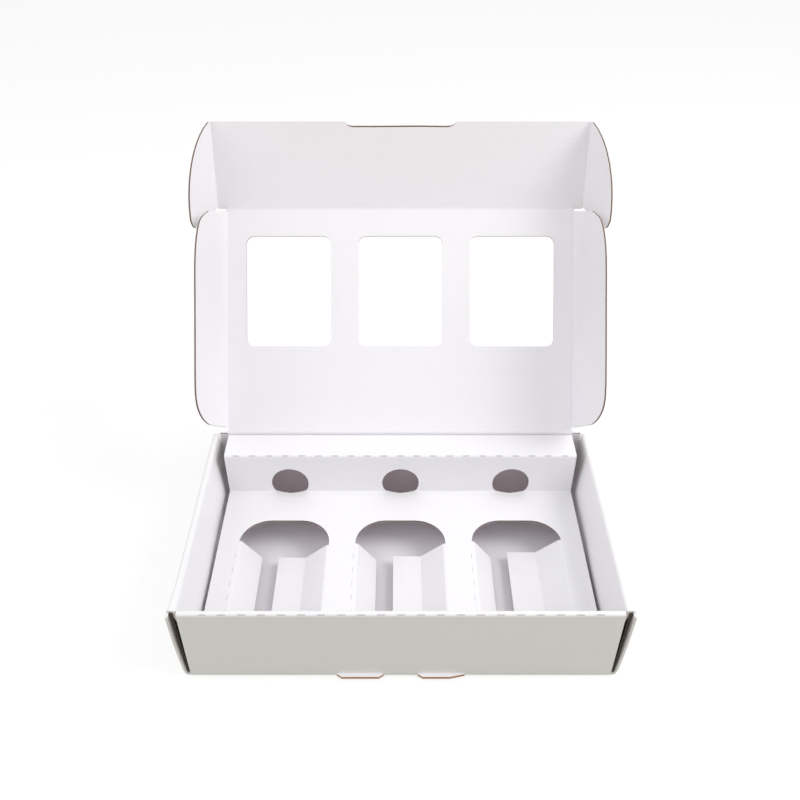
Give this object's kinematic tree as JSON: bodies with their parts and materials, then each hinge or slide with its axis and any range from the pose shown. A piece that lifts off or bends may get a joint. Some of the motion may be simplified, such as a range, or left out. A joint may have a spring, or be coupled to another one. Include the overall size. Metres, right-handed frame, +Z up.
{
  "type": "bottle shipping box",
  "caption": "Shallow folded corrugated box with a hinged windowed lid, side flaps, a tuck flap with ears, and a folded insert that cradles bottles lying side by side.",
  "frame": {"origin": "centre of the tray's underside", "axes": "+X to the right along the front wall, +Y from the front wall to the lid's hinge, +Z up"},
  "size_m": [0.2768, 0.2788, 0.2328],
  "materials": {
    "white_board": "matte white liner on both sides, brown fluting at the cut edges",
    "insert_board": "matte white liner on both sides, brown fluting at the cut edges"
  },
  "bodies": {
    "base": {"tray": "white_board", "insert": "insert_board"},
    "lid": {"lid": "white_board"},
    "left_side_flap": {"left_side_flap": "white_board"},
    "right_side_flap": {"right_side_flap": "white_board"},
    "tuck_flap": {"tuck_flap": "white_board"},
    "left_ear": {"left_ear": "white_board"},
    "right_ear": {"right_ear": "white_board"}
  },
  "joints": [
    {"name": "lid_hinge", "type": "hinge", "parent": "base", "child": "lid", "pos_m": [0, 0.0804, 0.0579], "axis": [1, 0, 0], "range_deg": [-50, 107]},
    {"name": "left_side_flap_hinge", "type": "hinge", "parent": "lid", "child": "left_side_flap", "pos_m": [-0.121, 0.0804, 0.0579], "axis": [0, 0.6401, 0.7683], "range_deg": [-4.2, 8.8]},
    {"name": "right_side_flap_hinge", "type": "hinge", "parent": "lid", "child": "right_side_flap", "pos_m": [0.121, 0.0804, 0.0579], "axis": [0, -0.6401, -0.7683], "range_deg": [-4.2, 8.8]},
    {"name": "tuck_flap_hinge", "type": "hinge", "parent": "lid", "child": "tuck_flap", "pos_m": [0, 0.17981, 0.17721], "axis": [1, 0, 0], "range_deg": [-24.8, 50]},
    {"name": "left_ear_hinge", "type": "hinge", "parent": "tuck_flap", "child": "left_ear", "pos_m": [-0.1273, 0.17981, 0.17721], "axis": [0, 0.2588, 0.9659], "range_deg": [-75, 3]},
    {"name": "right_ear_hinge", "type": "hinge", "parent": "tuck_flap", "child": "right_ear", "pos_m": [0.1273, 0.17981, 0.17721], "axis": [0, -0.2588, -0.9659], "range_deg": [-75, 3]}
  ],
  "couplings": [
    {"joint": "left_side_flap_hinge", "follows": "lid_hinge", "ratio": 0.08},
    {"joint": "right_side_flap_hinge", "follows": "lid_hinge", "ratio": 0.08}
  ]
}
